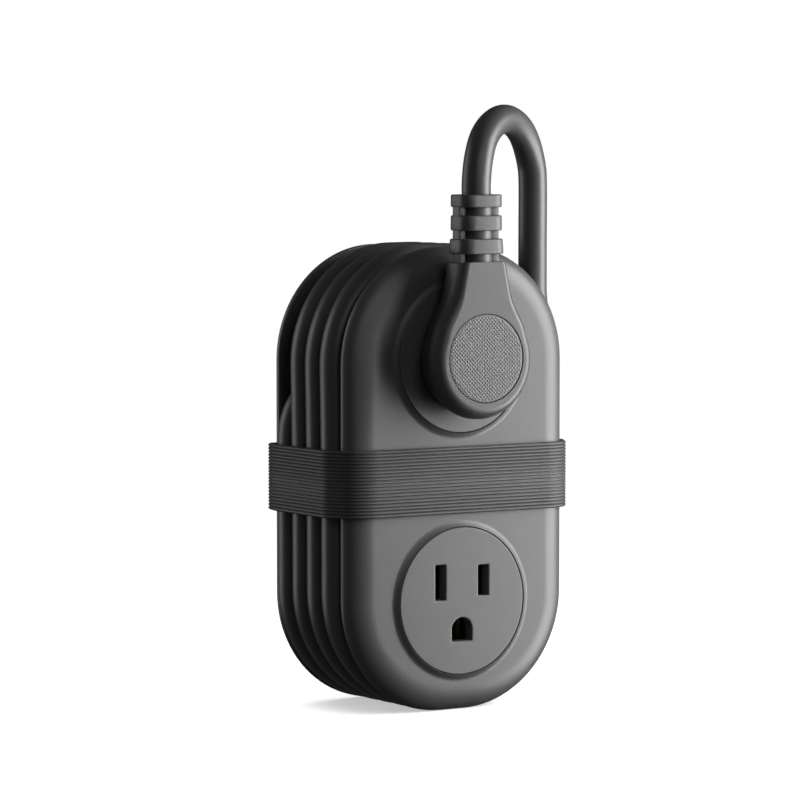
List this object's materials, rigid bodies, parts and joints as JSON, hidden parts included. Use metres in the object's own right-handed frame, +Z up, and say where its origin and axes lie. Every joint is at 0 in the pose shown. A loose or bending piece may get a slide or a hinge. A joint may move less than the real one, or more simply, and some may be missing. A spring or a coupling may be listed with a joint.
{
  "type": "travel power strip",
  "caption": "Bobbin-shaped travel power strip with grounded outlets on its front, its cord wound round the body under an elastic band and its plug parked in one outlet.",
  "frame": {"origin": "centre of the box round the body, its covers and its band, at the level that the covers stand on", "axes": "+X to the right of the front face, +Y to the back, +Z up along the body's height; the outlets face -Y"},
  "size_m": [0.0716, 0.048, 0.1497],
  "materials": {
    "casing": "fine matte charcoal",
    "outlet_face": "matte charcoal",
    "insulator": "matte black",
    "contact_brass": "rolled",
    "black_insulation": "satin",
    "white_insulation": "satin",
    "green_insulation": "satin",
    "tinned_metal": "tinned",
    "screw_steel": "zinc plated",
    "band_rubber": "ribbed matte",
    "cord_jacket": "smooth matte",
    "plug_overmould": "soft matte",
    "blade_nickel": "nickel plated"
  },
  "bodies": {
    "housing": {"front_cover": "casing", "winding_core": "casing", "rear_cover": "casing", "outlet_face_upper": "outlet_face", "outlet_face_lower": "outlet_face", "contact_carrier": "insulator", "carrier_cover": "insulator", "line_bus_bar": "contact_brass", "neutral_bus_bar": "contact_brass", "ground_bus_bar": "contact_brass", "line_wire": "black_insulation", "neutral_wire": "white_insulation", "ground_wire": "green_insulation", "wire_terminals": "tinned_metal", "cord_gland": "cord_jacket", "cord_tail": "cord_jacket", "carrier_screws": "screw_steel", "body_screws": "screw_steel", "cord_winding": "cord_jacket", "cord_loop": "cord_jacket"},
    "band": {"elastic_band": "band_rubber"},
    "plug": {"plug_body": "plug_overmould", "plug_core": "insulator", "plug_grip_pad": "plug_overmould", "plug_strain_relief": "plug_overmould", "plug_line_blade": "blade_nickel", "plug_neutral_blade": "blade_nickel", "plug_ground_pin": "blade_nickel", "plug_crimps": "contact_brass"}
  },
  "joints": [
    {"name": "plug_pull", "type": "slide", "parent": "housing", "child": "plug", "axis": [0, -1, 0], "range_m": [0, 0.022], "deforming": ["cord_loop"]},
    {"name": "band_slide", "type": "slide", "parent": "housing", "child": "band", "axis": [0, 0, -1], "range_m": [0, 0.02], "deforming": ["elastic_band"]}
  ]
}
